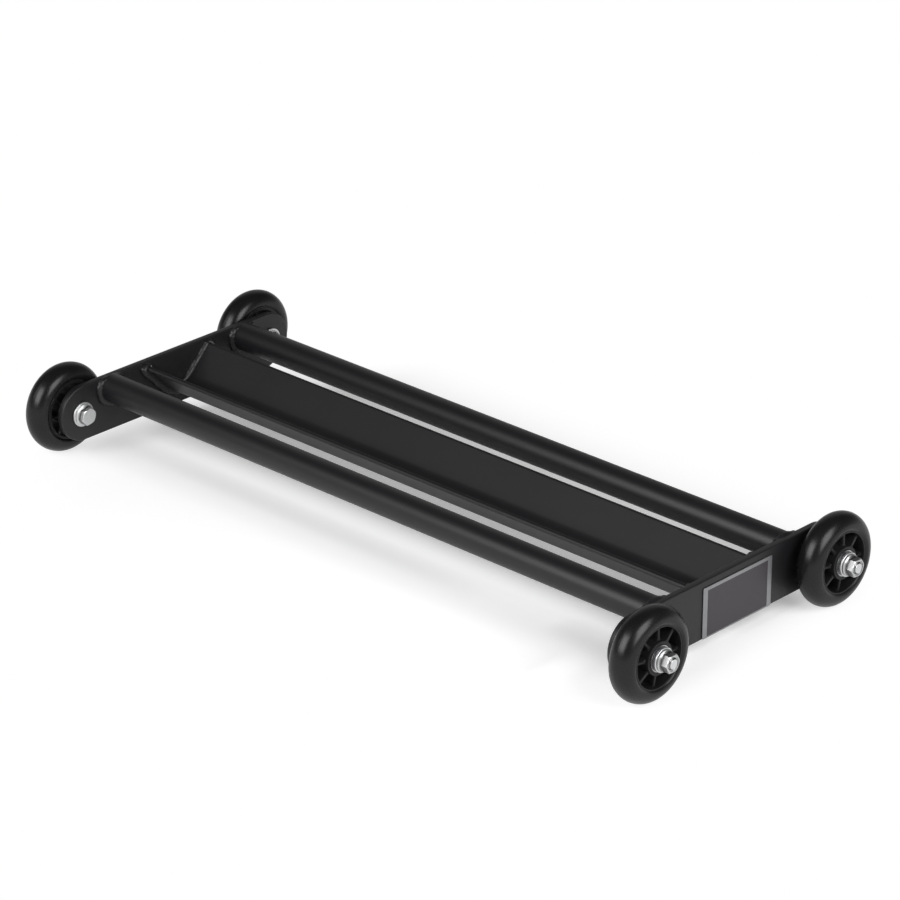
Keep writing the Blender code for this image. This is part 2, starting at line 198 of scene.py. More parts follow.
class Socket:
    """A node's output, on which sums are written as on a number."""

    def __init__(self, finish, output):
        self.finish, self.output = finish, output

    def sum(self, operation, first, second=0.0):
        return self.finish.node("ShaderNodeMath", {"operation": operation}, {0: first, 1: second})

    def __add__(self, other):
        return self.sum("ADD", self, other)

    def __radd__(self, other):
        return self.sum("ADD", other, self)

    def __sub__(self, other):
        return self.sum("SUBTRACT", self, other)

    def __rsub__(self, other):
        return self.sum("SUBTRACT", other, self)

    def __mul__(self, other):
        return self.sum("MULTIPLY", self, other)

    def __rmul__(self, other):
        return self.sum("MULTIPLY", other, self)

    def __gt__(self, other):
        return self.sum("GREATER_THAN", self, other)

    def __abs__(self):
        return self.sum("ABSOLUTE", self)

    def root(self):
        return self.sum("SQRT", self)

    def at_least(self, other):
        return self.sum("MAXIMUM", self, other)


class Finish:
    """A material, or the sky, whose nodes are made by one method."""

    def __init__(self, owner, shader="Principled BSDF", coordinates="Object"):
        owner.use_nodes = True
        self.owner, self.tree, self.coordinates = owner, owner.node_tree, coordinates
        self.shader = self.tree.nodes[shader]

    def node(self, kind, settings=None, inputs=None, output=0):
        """A node: its settings first, a ramp's stops among them, then its sockets' values and links."""
        made = self.tree.nodes.new(kind)
        for name, value in (settings or {}).items():
            if name == "stops":
                ramp = made.color_ramp.elements
                while len(ramp) < len(value):
                    ramp.new(0.5)
                for stop, (place, colour) in zip(ramp, value):
                    stop.position, stop.color = place, colour
            else:
                setattr(made, name, value)
        for socket, value in (inputs or {}).items():
            self.feed(made, socket, value)
        return Socket(self, made.outputs[output])

    def feed(self, made, socket, value):
        """Gives one input a link or a plain value."""
        if isinstance(value, Socket):
            self.tree.links.new(value.output, made.inputs[socket])
        else:
            made.inputs[socket].default_value = value

    def place(self):
        """Where on the object a point is, in metres, or which way the sky is looked at."""
        return self.node("ShaderNodeTexCoord", output=self.coordinates)

    def axes(self):
        """The place's own x, y and z."""
        made = self.node("ShaderNodeSeparateXYZ", None, {0: self.place()}).output.node
        return [Socket(self, output) for output in made.outputs]

    def noise(self, scale, detail=2.0, rough=0.5):
        """Soft random patches, about 1 / scale metres across, from 0 to 1."""
        inputs = {"Vector": self.place(), "Scale": scale, "Detail": detail, "Roughness": rough}
        return self.node("ShaderNodeTexNoise", None, inputs, "Fac")

    def mix(self, amount, first, second):
        """One colour blended into another."""
        made = self.node("ShaderNodeMix", {"data_type": "RGBA"}).output.node
        named = {item.name: place for place, item in enumerate(made.inputs) if item.enabled}
        for name, value in (("Factor", amount), ("A", first), ("B", second)):
            self.feed(made, named[name], value)
        return Socket(self, [item for item in made.outputs if item.enabled][0])

    def bump(self, height, strength, distance):
        """Dents and rises that only the light sees."""
        inputs = {"Height": height, "Strength": strength, "Distance": distance}
        return self.node("ShaderNodeBump", None, inputs, "Normal")

    def surface(self, **sockets):
        """Sets the shader's own sockets, named with _ for a space."""
        for name, value in sockets.items():
            self.feed(self.shader, name.replace("_", " "), value)
        return self.owner


def new_finish(name):
    """A finish for a new material."""
    return Finish(bpy.data.materials.new(name))


def grey(value, plum=0.0):
    """An almost neutral colour, with its green held back and its blue raised by plum."""
    return (value, value * (1 - plum), value * (1 + 0.6 * plum), 1)


print("a grey with a touch of plum:", np.round(grey(0.5, 0.1), 2).tolist())

# %% [markdown]
# ## Powder coat
# The frame is powder coated: a dry paint powder is melted on, and leaves a satin black skin with
# a fine pebbled grain. Two sizes of noise raise the skin, a fine one for the grain and a broad
# one for its slight waviness, and the gloss wanders a little with them.

# %% Powder coat finish


def powder_coat():
    """Satin black, pebbled at about half a millimetre."""
    finish = new_finish("pebbled_powder_coat")
    grain, flow = finish.noise(2200, 3.0, 0.6), finish.noise(260, 2.0)
    patches = finish.noise(14, 3.0)
    colour = finish.mix(patches * 0.6 + grain * 0.4, grey(0.0058, 0.10), grey(0.0090, 0.10))
    height = grain * 0.7 + flow * 0.3
    return finish.surface(Base_Color=colour, Roughness=0.36 + patches * 0.06 + grain * 0.06,
                          Normal=finish.bump(height, 0.35, 0.0001), Specular_IOR_Level=0.5)


coat = powder_coat()
print("made the finish", coat.name)

# %% [markdown]
# ## Wheel finishes
# The tyre is cast urethane, smooth with a soft sheen. The hub is moulded nylon, which is a touch
# duller and has the fine spark texture of its mould.

# %% Urethane and nylon


def urethane():
    """Satin black with faint cloudy patches."""
    finish = new_finish("cast_urethane")
    clouds, fine = finish.noise(55, 3.0), finish.noise(1500, 2.0)
    colour = finish.mix(clouds, grey(0.0054), grey(0.0084))
    return finish.surface(Base_Color=colour, Roughness=0.22 + clouds * 0.06 + fine * 0.04,
                          Normal=finish.bump(fine * 0.4 + clouds * 0.6, 0.25, 0.0001),
                          Specular_IOR_Level=0.34)


def nylon():
    """Dull black with a fine spark texture."""
    finish = new_finish("hub_nylon")
    spark, clouds = finish.noise(3200, 2.0, 0.7), finish.noise(80, 2.0)
    colour = finish.mix(clouds, grey(0.0100), grey(0.0145))
    return finish.surface(Base_Color=colour, Roughness=0.42 + spark * 0.10,
                          Normal=finish.bump(spark, 0.45, 0.00008), Specular_IOR_Level=0.28)


tyre_finish, hub_finish = urethane(), nylon()
print("made the finishes", tyre_finish.name, "and", hub_finish.name)

# %% [markdown]
# ## Metal finishes
# The bolts, nuts and washers are zinc plated: bright, with a faint cloudiness from the bath. Shade
# is painted into the corner between hexagon and flange and onto the bolt's turned-down tip, which
# dims the glint there. The bearings are ground steel, smoother and darker.

# %% Zinc plate and bearing steel


def zinc_plate(name, painted_shade_bands=(), shade=1.0):
    """Bright plated steel, cloudy at a few millimetres, pitted, and with bands of painted shade.

    A band is (distance from the frame's middle, half width) and fades as 1 - (d / half width)^2.
    A shade below 1 makes the plating greyer.
    """
    finish = new_finish(name)
    clouds, pits = finish.noise(420, 3.0, 0.6), finish.noise(5200, 2.0)
    low = (0.66 * shade, 0.67 * shade, 0.69 * shade, 1)
    high = (0.86 * shade, 0.86 * shade, 0.85 * shade, 1)
    colour = finish.mix(clouds, low, high)
    # Painted shade: each band blends near-black into the zinc, at a hexagon's flange or the bolt's tip
    for middle, half in painted_shade_bands:
        off = (abs(finish.axes()[0]) - middle) * (1 / half)
        painted_shade = (1.0 - off * off).at_least(0.0)
        colour = finish.mix(painted_shade * 0.9, colour, (0.05, 0.05, 0.052, 1))
    return finish.surface(Base_Color=colour, Metallic=1.0, Roughness=0.36 + clouds * 0.12,
                          Normal=finish.bump(pits * 0.5 + clouds * 0.5, 0.35, 0.0001))


def bearing_steel():
    """Ground steel with a little haze."""
    finish = new_finish("bearing_steel")
    haze = finish.noise(900, 2.0)
    colour = finish.mix(haze, (0.44, 0.44, 0.45, 1), (0.58, 0.58, 0.59, 1))
    return finish.surface(Base_Color=colour, Metallic=1.0, Roughness=0.18 + haze * 0.12,
                          Normal=finish.bump(haze, 0.2, 0.00005))


# Bands of painted shade: under the bolt's hexagon, on the bolt's tip, and under the nut's hexagon
HEAD_SHADE_BAND = (306.0 * MM, 1.5 * MM)
TIP_SHADE_BAND = (358.9 * MM, 0.75 * MM)
NUT_SHADE_BAND = (353.2 * MM, 1.4 * MM)

zinc, steel = zinc_plate("zinc_plate"), bearing_steel()
bolt_zinc = zinc_plate("bolt_zinc", [HEAD_SHADE_BAND, TIP_SHADE_BAND])
nut_zinc = zinc_plate("nut_zinc", [NUT_SHADE_BAND], shade=0.8)
print("made the finishes", *[made.name for made in (zinc, bolt_zinc, nut_zinc, steel)])

# %% [markdown]
# ## End plates
# Each end of the frame is a length of flat bar, rounded at both ends just past the axles. Its
# outline is a stadium, two half circles joined by straight sides. The surface carries that
# outline from the middle line of one face out to the edge, over the edge and back on the other
# face. The edge itself is slightly rounded, so the powder coat catches a thin line of light.

# %% End plates


def stadium(inset, count=72):
    """A stadium's outline drawn in by an inset, as (y, z): centre line plus (R - inset) * normal."""
    angle = np.linspace(-math.pi / 2, math.pi / 2, count // 2)
    side = np.concatenate([angle, angle + math.pi])
    centre = np.repeat([1, -1], count // 2) * (AXLE_Y + PLATE_OVERHANG - PLATE_RADIUS)
    reach = PLATE_RADIUS - inset
    return np.stack([centre + reach * np.cos(side), reach * np.sin(side)], axis=-1)


def end_plate(end, edge=1.1 * MM):
    """Rows of stadiums, each with its own inset and depth, from face to face."""
    turn = np.linspace(0, math.pi / 2, 5)
    first, second = edge * (1 - np.sin(turn)), edge * (1 - np.cos(turn))
    far_edge = PLATE_THICK - edge + edge * np.sin(turn)
    inset = np.concatenate([[PLATE_RADIUS], first, second, [PLATE_RADIUS]])
    depth = np.concatenate([[0], second, far_edge, [PLATE_THICK]])
    outlines = np.stack([stadium(value) for value in inset])
    x = np.broadcast_to((end * (PLATE_FACE + depth))[:, None, None], (*outlines.shape[:2], 1))
    return np.concatenate([x, outlines], axis=-1) + np.array([0, 0, AXLE_HEIGHT])


for name, end in ENDS.items():
    add_piece(f"plate_{name}", [end_plate(end)], coat, "frame", [f"end_plate_{name}"])
print("end plates are", round(2 * (AXLE_Y + PLATE_OVERHANG) / MM, 1), "mm long")

# %% [markdown]
# ## Grip bars
# The grips are lengths of round tube, open at their ends, which butt against the end plates. A
# closed outline of the tube's wall turned about its axis is all they need.

# %% Grip bars
GRIP_RADIUS = 12.7 * MM
GRIP_BORE = 10.3 * MM
GRIP_Y = 78.6 * MM
GRIP_Z = 54.4 * MM

for name, side in ROWS.items():
    outline = ring_outline(-HALF_BAR, 2 * HALF_BAR, GRIP_BORE, GRIP_RADIUS)
    points, around, closed = turned(outline, 112)
    tube = (points + np.array([0, side * GRIP_Y, GRIP_Z]), around, closed)
    add_piece(f"{name}_grip", [tube], coat, "frame", [f"{name}_grip_bar"])
print("grip bars are", round(2 * GRIP_RADIUS / MM, 1), "mm thick")

# %% [markdown]
# ## Foot channel
# The channel is thick plate folded once, on a tool with a round nose, so its bottom is an arc
# between two flat flanks. The middle line of the plate is worked out first, and the section is
# that line with half the thickness laid to each side, its lips' corners lightly rounded.

# %% Foot channel
CHANNEL_HALF = 2.38 * MM
CHANNEL_BEND = 24 * MM
CHANNEL_LIP = np.array([36.4, 62.2]) * MM
LIP_CORNER = 2.0 * MM
SLOPE = math.radians(45)


def channel_line(count=400):
    """The plate's middle line and outward normals, front lip to rear lip, evenly spaced.

    Two straight flanks at 45 degrees meet an arc of radius bend - half thickness.
    """
    bend = CHANNEL_BEND - CHANNEL_HALF
    lip = CHANNEL_LIP + CHANNEL_HALF * np.array([math.sin(SLOPE), -math.cos(SLOPE)])
    flat = (lip[0] - bend * math.sin(SLOPE)) / math.cos(SLOPE)
    centre = lip[1] - flat * math.sin(SLOPE) + bend * math.cos(SLOPE)
    arc = 2 * SLOPE * bend
    s = np.linspace(-flat - arc / 2, flat + arc / 2, count)
    angle = np.clip(s, -arc / 2, arc / 2) / bend
    past = s - np.clip(s, -arc / 2, arc / 2)
    y = bend * np.sin(angle) + past * math.cos(SLOPE)
    z = centre - bend * np.cos(angle) + np.abs(past) * math.sin(SLOPE)
    return np.stack([y, z], axis=-1), np.stack([np.sin(angle), -np.cos(angle)], axis=-1), s


def channel_section(inset, count=140):
    """The plate's outline drawn in by an inset, outer side then inner side, corners rounded.

    Near a lip the side bends in on a quarter circle of the corner's radius.
    """
    line, normal, s = channel_line(count)
    toward = np.clip((np.abs(s) - (s[-1] - LIP_CORNER)) / LIP_CORNER, 0, 1)
    half = CHANNEL_HALF - LIP_CORNER * (1 - np.sqrt(1 - toward**2)) - inset
    half = np.maximum(half, 0)[:, None]
    return np.concatenate([line + normal * half, (line - normal * half)[::-1]])


def channel():
    """The section carried along X, closed at both ends by drawing it in to its middle line."""
    inset = [CHANNEL_HALF, 0.0, 0.0, CHANNEL_HALF]
    outlines = np.stack([channel_section(value) for value in inset])
    x = np.array([-HALF_BAR, -HALF_BAR, HALF_BAR, HALF_BAR])[:, None, None]
    return np.concatenate([np.broadcast_to(x, (*outlines.shape[:2], 1)), outlines], axis=-1)


add_piece("channel", [channel()], coat, "frame", ["foot_channel"])
print("foot channel is", round(2 * channel_line()[2][-1] / MM, 1), "mm of plate wide before folding")

# %% [markdown]
# ## Weld beads
# A weld bead is laid in short pushes of the torch, so it looks like a row of fallen coins. The
# bead fills the corner between bar and plate, and where the bar stands above the plate it spills
# over the plate's top edge. It could be a plain ring with a bump texture, but its uneven outline
# shows, so the ripple is in the mesh: the bead swells within each push.

# %% Weld beads
WELD_LEG = 4.3 * MM
CHANNEL_LEG = 5.2 * MM
PUSH = 4.0 * MM
SPILL = 2.6 * MM
TRAIL, MEAN_RIPPLE = 0.35, 0.67
FULLNESS, SINK = 0.9, 0.4
PLATE_TOP = AXLE_HEIGHT + PLATE_RADIUS


def ripple(along, across):
    """1 - (2 * phase - 1)^2 within each push: an arch whose crest trails at the bead's sides."""
    phase = np.mod(along / PUSH + TRAIL * across**2, 1.0)
    return 1 - (2 * phase - 1) ** 2


def unevenness(along, upward, end):
    """Two sines that wander by 5 % at most, times 1 - 0.3 up^2: flatter where a bead looks up."""
    wander = 1 + 0.05 * np.sin(along / (7 * MM) + end) * np.sin(along / (3.1 * MM))
    return wander * (1 - 0.3 * np.maximum(upward, 0) ** 2)


def bead(wall, outward, end, size=WELD_LEG, heap=0.045):
    """A bead along a closed wall outline of (y, z), in the corner with the end plate.

    The section is corner + (start - corner) * cos^p t + (foot - corner) * sin^p t, with p the
    fullness. Start lies on the wall and foot on the plate, each a leg from the corner. Where the
    foot would pass the plate's top edge it lies down on the edge and spills over it by
    spill * (1 - e^(-past/spill)), and the corner sinks, so that the bead still bulges.
    """
    steps = np.linalg.norm(np.roll(wall, -1, axis=0) - wall, axis=1)
    along = (np.cumsum(steps) - steps) * (round(steps.sum() / PUSH) * PUSH / steps.sum())
    t = np.linspace(0, math.pi / 2, 11)
    swell = 1 + heap * (ripple(along[:, None], np.cos(2 * t)) - MEAN_RIPPLE)
    leg = size * swell * unevenness(along, outward[:, 1], end)[:, None]
    foot = wall + outward * leg[:, -1:]
    past = np.maximum(foot[:, 1] - PLATE_TOP, 0)
    foot[:, 1] -= past
    corner = wall - outward * SINK * past[:, None]
    to_wall, to_foot = np.cos(t)[:, None] ** FULLNESS, np.sin(t)[:, None] ** FULLNESS
    reach = to_foot * (leg / size)[..., None]
    flat = corner[:, None] + (wall - corner)[:, None] * to_wall + (foot - corner)[:, None] * reach
    over = SPILL * (1 - np.exp(-past / SPILL))
    x = end * (PLATE_FACE - leg * to_wall[:, 0] + over[:, None] * to_foot[:, 0])
    points = np.concatenate([x[..., None], flat], axis=-1)
    inner = np.concatenate([np.full((len(wall), 1, 1), end * PLATE_FACE), corner[:, None]], axis=-1)
    return np.concatenate([points, inner], axis=1), True, True


def grip_wall(side, count=280):
    """A circle of the grip's radius and its normals."""
    angle = np.linspace(0, 2 * math.pi, count, endpoint=False)
    normal = np.stack([np.cos(angle), np.sin(angle)], axis=-1)
    return np.array([side * GRIP_Y, GRIP_Z]) + normal * GRIP_RADIUS, normal


def channel_wall(count=700):
    """The channel's outline and its normals, which swing round over the lips."""
    line, normal, s = channel_line(count)
    near_lip = np.clip((np.abs(s) - (s[-1] - CHANNEL_HALF)) / CHANNEL_HALF, 0, 1)[:, None]
    swing = near_lip * math.radians(80)
    lengthwise = np.stack([-normal[:, 1], normal[:, 0]], axis=-1) * np.sign(s)[:, None]
    below = normal * np.cos(swing) + lengthwise * np.sin(swing)
    above = -normal * np.cos(swing) + lengthwise * np.sin(swing)
    wall = np.concatenate([line + normal * CHANNEL_HALF, (line - normal * CHANNEL_HALF)[::-1]])
    return wall, np.concatenate([below, above[::-1]])


for name, end in ENDS.items():
    for row, side in ROWS.items():
        wall, outward = grip_wall(side)
        add_piece(f"{row}_grip_bead_{name}", [bead(wall, outward, end)], coat,
                  "frame", [f"{row}_grip_weld_{name}"], crease=60)
    wall, outward = channel_wall()
    add_piece(f"channel_bead_{name}", [bead(wall, outward, end, CHANNEL_LEG, heap=0.012)], coat,
              "frame", [f"channel_weld_{name}"], crease=60)
print("a weld bead has about", round(2 * math.pi * GRIP_RADIUS / PUSH), "pushes round a grip")

# %% [markdown]
# ## Label
# A small plate is stuck on the right end. It is left bare here: a dark satin field inside a
# brushed grey border, which is wider at the sides than above and below. The border stands a hair
# proud, so it is part of the shape as well as of the colour. The surface is a stack of rounded
# rectangles: some follow the plate's edge and some follow the field's.

# %% Label
LABEL_HALF = np.array([41.75, 22.25]) * MM
LABEL_CENTRE = np.array([11.8, 37.1]) * MM
LABEL_FACE = PLATE_FACE + PLATE_THICK + ROOM
LABEL_THICK = 0.6 * MM
FIELD_HALF = LABEL_HALF - np.array([5.2, 2.2]) * MM
FIELD_CENTRE = LABEL_CENTRE - np.array([0.0, 0.8]) * MM
LABEL_CORNER = 1.6 * MM
FIELD_CORNER = 0.8 * MM
FIELD_SPINE = 16 * MM
LABEL_HEIGHTS = np.array([0.0, 0.0, 0.75, 1.0, 1.0, 0.75, 0.75]) * LABEL_THICK


def rounded_rectangle(centre, half, corner, count=64):
    """A rectangle with round corners: its corner centres plus a circle, quarter by quarter."""
    angle = np.linspace(0, 2 * math.pi, count, endpoint=False) + math.pi / count
    quarter = np.stack([np.sign(np.cos(angle)), np.sign(np.sin(angle))], axis=-1)
    circle = np.stack([np.cos(angle), np.sin(angle)], axis=-1)
    return centre + quarter * (half - corner) + circle * corner


def label():
    """Stacked outlines: back, edge, border, the step down to the field, and the field's middle."""
    edge = [rounded_rectangle(LABEL_CENTRE, LABEL_HALF - inset, LABEL_CORNER - inset)
            for inset in (0, 0, 0.12 * MM)]
    field = [rounded_rectangle(FIELD_CENTRE, FIELD_HALF - inset, FIELD_CORNER)
             for inset in (0, 0.15 * MM)]
    across = np.clip(field[1][:, 0] - FIELD_CENTRE[0], -FIELD_SPINE, FIELD_SPINE)
    middle = np.stack([across, 0 * across], axis=-1) + FIELD_CENTRE
    outlines = np.stack([middle, *edge, *field, middle])
    x = np.broadcast_to(LABEL_FACE + LABEL_HEIGHTS[:, None, None], (*outlines.shape[:2], 1))
    return np.concatenate([x, outlines], axis=-1)


def label_foil():
    """A grey border round a dark field, told apart by the distance from the field's centre."""
    finish = new_finish("label_foil")
    _, y, z = finish.axes()
    across, up = abs(y - float(FIELD_CENTRE[0])), abs(z - float(FIELD_CENTRE[1]))
    border = (across > float(FIELD_HALF[0])).at_least(up > float(FIELD_HALF[1]))
    haze, scratch = finish.noise(120, 3.0), finish.noise(2600, 2.0)
    field = finish.mix(haze, (0.030, 0.026, 0.031, 1), (0.040, 0.034, 0.040, 1))
    rim = finish.mix(haze, (0.26, 0.26, 0.27, 1), (0.36, 0.36, 0.37, 1))
    return finish.surface(Base_Color=finish.mix(border, field, rim), Metallic=border * 0.85,
                          Roughness=0.30 + haze * 0.08, Normal=finish.bump(scratch, 0.15, 0.00005))


foil = label_foil()
add_piece("label", [label()], foil, "frame", ["label_plate"])
print("label is", *np.round(2 * LABEL_HALF / MM, 1), "mm")

# %% [markdown]
# ## Tyres
# A tyre is cast round its hub in a two-part mould. Its crown is half an ellipse, which meets
# straight sides that draw in to the rim, and a faint line runs round the middle where the
# mould's halves met. The outline is worked out point by point and turned.

# %% Tyres
WHEEL_CENTRE = 22.95 * MM
WHEEL_RADIUS = 40 * MM
TYRE_HALF = 12 * MM
CROWN = 11 * MM
TYRE_FOOT = np.array([[11.4, 27.7], [11.0, 26.95], [10.75, 26.68]]) * MM
LINE_DEPTH, LINE_HALF = 0.06 * MM, 0.22 * MM


def tyre_outline():
    """An ellipse, radius = shoulder + crown * cos a at x = half * sin a, on two drawn-in feet.

    The mould's line is left standing in the middle, where the rest is lowered by
    depth * (1 - e^-(x/half)^2).
    """
    a = np.linspace(-math.pi / 2, math.pi / 2, 61)
    x, r = TYRE_HALF * np.sin(a), WHEEL_RADIUS - CROWN + CROWN * np.cos(a)
    r -= LINE_DEPTH * (1 - np.exp(-((x / LINE_HALF) ** 2)))
    left = TYRE_FOOT[::-1] * np.array([-1, 1])
    return np.concatenate([left, np.stack([x, r], axis=-1), TYRE_FOOT])


for corner in CORNERS:
    outline = tyre_outline() + np.array([WHEEL_CENTRE, 0])
    add_piece(f"{corner}_tread", [shifted(turned(outline, 160), corner)], tyre_finish,
              f"{corner}_wheel", [f"{corner}_tyre"])
print("tyres are", round(2 * WHEEL_RADIUS / MM), "by", round(2 * TYRE_HALF / MM), "mm")

# %% [markdown]
# ## Hubs
# The hub is moulded in one piece: a boss that holds two bearings, eight flat spokes and a rim.
# The boss and rim are turned. A spoke is a flat bar with rounded edges that flares where it
# meets boss and rim, so it is one section carried outwards, widened at both ends.

# %% Hubs
RIM_RADIUS = 26.6 * MM
RIM_BORE = 24.6 * MM
BOSS_RADIUS = 14.3 * MM
SPOKES = 8
SPOKE_TURN = math.radians(85)
SPOKE_HALF = 1.4 * MM
SPOKE_DEPTHS = [9.0 * MM, 7.8 * MM]
SQUARENESS = 5


def spoke(turn):
    """A superellipse section, |y/w|^5 + |x/d|^5 = 1, carried from boss to rim.

    Its half width is 1.4 mm plus a flare that dies away from each end, and its half depth
    falls from 9 to 7.8 mm. The ends are closed inside boss and rim.
    """
    r = np.linspace(BOSS_RADIUS - 1.5 * MM, RIM_BORE + 0.8 * MM, 25)
    at_boss = 1.1 * MM * np.exp(-np.maximum(r - BOSS_RADIUS, 0) / (0.9 * MM))
    at_rim = 0.9 * MM * np.exp(-np.maximum(RIM_BORE - r, 0) / (0.8 * MM))
    deep = np.interp(r, r[[0, -1]], SPOKE_DEPTHS)
    r = np.concatenate([r[:1], r, r[-1:]])
    half = np.concatenate([[0], SPOKE_HALF + at_boss + at_rim, [0]])[:, None]
    deep = np.concatenate([[0], deep, [0]])[:, None]
    a = np.linspace(0, 2 * math.pi, 32, endpoint=False)
    x = deep * np.sign(np.cos(a)) * np.abs(np.cos(a)) ** (2 / SQUARENESS)
    w = half * np.sign(np.sin(a)) * np.abs(np.sin(a)) ** (2 / SQUARENESS)
    y = r[:, None] * math.cos(turn) - w * math.sin(turn)
    z = r[:, None] * math.sin(turn) + w * math.cos(turn)
    return np.stack([x + WHEEL_CENTRE, y, z], axis=-1), True, False


def hub_shells():
    """Rim, boss and spokes, in the axle's own measures.

    The rim's bore widens outwards. The boss has a pocket for a bearing at each end and a ridge
    between them that keeps the bearings apart.
    """
    half_rim, half_boss, half_ridge = 10.75 * MM, 11.5 * MM, 4.7 * MM
    pocket, ridge, boss_end = 11.2 * MM, 9.5 * MM, BOSS_RADIUS - 0.3 * MM
    rim = rounded([(-half_rim, RIM_BORE - 0.5 * MM), (0, RIM_BORE), (half_rim, RIM_BORE + 0.7 * MM),
                   (half_rim, RIM_RADIUS), (-half_rim, RIM_RADIUS)], 0.2 * MM)
    boss = rounded([(-half_boss, pocket), (-half_boss, boss_end), (0, BOSS_RADIUS),
                    (half_boss, boss_end), (half_boss, pocket), (half_ridge, pocket),
                    (half_ridge, ridge), (-half_ridge, ridge), (-half_ridge, pocket)], 0.4 * MM)
    shells = [turned(outline + np.array([WHEEL_CENTRE, 0]), 128) for outline in (rim, boss)]
    return shells + [spoke(SPOKE_TURN + 2 * math.pi * step / SPOKES) for step in range(SPOKES)]


for corner in CORNERS:
    shells = [shifted(shell, corner) for shell in hub_shells()]
    add_piece(f"{corner}_spoked_hub", shells, hub_finish,
              f"{corner}_wheel", [f"{corner}_hub"])
print("each hub has", SPOKES, "spokes")

# %% [markdown]
# ## Bearings
# Two sealed ball bearings sit in each boss. The outer race turns with the hub and carries a thin
# pressed shield on each side, the inner race stays on the bolt. The shield lies a little below
# the race's face, which gives the ring of shadow seen on the real one.

# %% Bearings
RACE_WIDTH = 7 * MM
RACE_RADIUS = 11 * MM
INBOARD, OUTBOARD = WHEEL_CENTRE - 12 * MM, WHEEL_CENTRE + 5 * MM
SHIELD = np.array([(3.12, 7.45), (3.12, 8.0), (2.95, 8.3), (2.95, 9.0), (3.15, 9.3)]) * MM
RACE_FACE = np.array([(RACE_WIDTH / 2, 9.6 * MM), (RACE_WIDTH / 2, RACE_RADIUS)])


def outer_race(start):
    """The race's outline with a shield on each side, which dips between two low ridges."""
    front = np.concatenate([SHIELD, RACE_FACE])
    back = front[::-1] * np.array([-1, 1])
    outline = rounded(np.concatenate([front, back]), 0.22 * MM, 3)
    return turned(outline + np.array([start + RACE_WIDTH / 2, 0]), 96)


def inner_race(start):
    """A plain ring with broken edges."""
    return turned(ring_outline(start, RACE_WIDTH, 5.0 * MM, 6.9 * MM), 72)


for corner in CORNERS:
    for name, start in (("inboard", INBOARD), ("outboard", OUTBOARD)):
        add_piece(f"{corner}_{name}_shielded_race", [shifted(outer_race(start), corner)], steel,
                  f"{corner}_wheel", [f"{corner}_{name}_outer_race"])
        add_piece(f"{corner}_{name}_bore_race", [shifted(inner_race(start), corner)], steel,
                  "frame", [f"{corner}_{name}_inner_race"])
print("bearings are", round(2 * RACE_RADIUS / MM), "by", round(RACE_WIDTH / MM), "mm")

# %% [markdown]
# ## Washers and spacers
# Stamped washers have one soft edge and one crisp one, from the punch. Here both edges are lightly
# rounded, which is all that shows at this size. The end washer has a narrow shim behind it,
# which keeps it off the bearing's shield.

# %% Washers and spacers
BORE = 5.2 * MM
NARROW = 6.8 * MM
WASHER = 2 * MM
WITH_SHIM = 3.3 * MM


def end_washer(start):
    """A narrow shim and a wide washer in one outline."""
    shim, end, radius = start + 1.3 * MM, start + WITH_SHIM, 10.35 * MM
    return rounded([(start, BORE), (start, NARROW), (shim, NARROW), (shim, radius),
                    (end, radius), (end, BORE)], 0.75 * MM)


def spacer(start, end, radius):
    """A plain ring that leaves room at each end."""
    return ring_outline(start + ROOM, end - start - 2 * ROOM, BORE, radius)


STACK = {
    "head_washer": ring_outline(-ROOM - WASHER, WASHER, BORE, 11.05 * MM, 0.7 * MM),
    "plate_spacer": spacer(PLATE_THICK, INBOARD, 7.5 * MM),
    "bearing_spacer": spacer(INBOARD + RACE_WIDTH, OUTBOARD, NARROW),
    "end_washer": end_washer(OUTBOARD + RACE_WIDTH + ROOM),
}
for corner in CORNERS:
    for name, outline in STACK.items():
        add_piece(f"{corner}_{name}_turned", [shifted(turned(outline, 96), corner)], zinc,
                  "frame", [f"{corner}_{name}"])
print("washers are", round(WASHER / MM, 1), "mm thick")

# %% [markdown]
# ## Bolts and nuts
# Bolt head and nut are hexagons on a round flange. A hexagon's outline in polar form is half the
# width over its flats, over the cosine of the angle from the nearest flat. Its corners are turned
# off by a cone, so the radius at each point is the smaller of the two. Where the flange is wider
# than that, the flange shows. The thread is a ridge that climbs one pitch each turn.

# %% Bolts and nuts
FLATS = 14.3 * MM
FLANGE = 9.35 * MM
BOLT_RADIUS = 4.76 * MM
BOLT_LENGTH = 50.8 * MM
PITCH = 1.5875 * MM
HEAD_PLACE = -2 * ROOM - WASHER
NUT_PLACE = OUTBOARD + RACE_WIDTH + 2 * ROOM + WITH_SHIM
HEAD_HEIGHT, HEAD_FLANGE, HEAD_TURN = 7.0 * MM, 2.6 * MM, math.radians(12)
NUT_HEIGHT, NUT_FLANGE, NUT_TURN = 8.8 * MM, 3.6 * MM, 0.0
FLANGE_RIM = 1.0 * MM
CONE_RADIUS, CONE_SLOPE = FLATS / 2 * 0.985, math.tan(math.radians(60))
THREAD_DEPTH, THREAD_LENGTH, TIP = 0.75 * MM, 11.5 * MM, 0.9 * MM
SHANK_START = 0.5 * MM
AROUND = np.linspace(0, 2 * math.pi, 144, endpoint=False)


def hexagon_radius(x, height, flange_rise, turn):
    """max(min(hexagon, turning cone), flange), for points at heights x over the seat."""
    from_flat = np.mod(AROUND - turn, math.pi / 3) - math.pi / 6
    hexagon = FLATS / 2 / np.cos(from_flat)
    cone = CONE_RADIUS + (height - x) * CONE_SLOPE
    slope = np.interp(x, [0, FLANGE_RIM, flange_rise], [FLANGE, FLANGE, FLATS / 2 * 0.96])
    flange = np.where(x <= flange_rise, slope, 0)
    return np.maximum(np.minimum(hexagon, cone), flange)


def rows_of(x, radius):
    """Rows of (x, r cos a, r sin a); x and radius have a value for each row, or one for each point."""
    x, radius, angle = np.broadcast_arrays(x, radius, AROUND)
    return np.stack([x, radius * np.cos(angle), radius * np.sin(angle)], axis=-1)


def circle_row(x, radius):
    """One row of a turned surface."""
    return rows_of(np.array([[x]]), radius)


